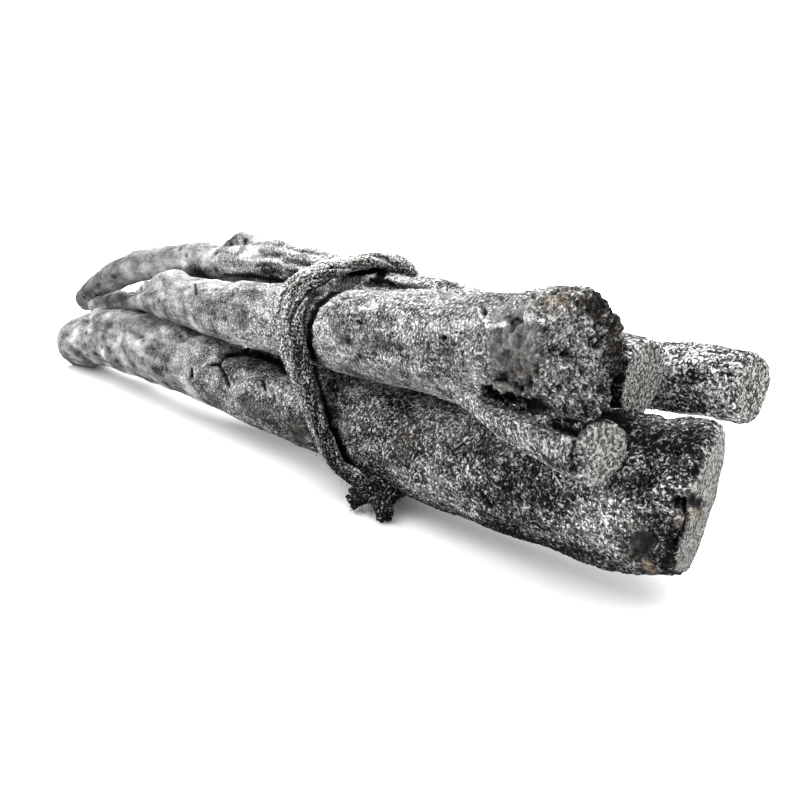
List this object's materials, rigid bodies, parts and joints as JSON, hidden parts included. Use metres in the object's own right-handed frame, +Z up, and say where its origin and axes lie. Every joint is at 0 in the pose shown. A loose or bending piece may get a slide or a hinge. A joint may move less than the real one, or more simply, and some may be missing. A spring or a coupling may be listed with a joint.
{
  "type": "tied bundle of branches",
  "caption": "Bundle of thick, weathered charcoal-grey branches with cut ends, lying on its side and tied round with a doubled cord.",
  "frame": {"origin": "middle of the footprint of the bounding box, on the surface that the bundle lies on", "axes": "+X along the branches towards the cut ends nearest the viewer, -Y the side that faces the viewer, +Z up"},
  "size_m": [0.343, 0.0562, 0.0619],
  "materials": {
    "rough_bark": "dry charcoal-grey bark with a crusty white bloom",
    "chalky_bark": "dry grey bark rubbed with white bloom",
    "smooth_bark": "smooth silvery grey bark",
    "cord": "matte dusty plant-fibre cord"
  },
  "bodies": {
    "root": {"log": "rough_bark", "front_branch": "chalky_bark", "side_shoot": "chalky_bark", "arched_branch": "smooth_bark", "rear_branch": "smooth_bark", "binding_cord": "cord"}
  },
  "joints": []
}
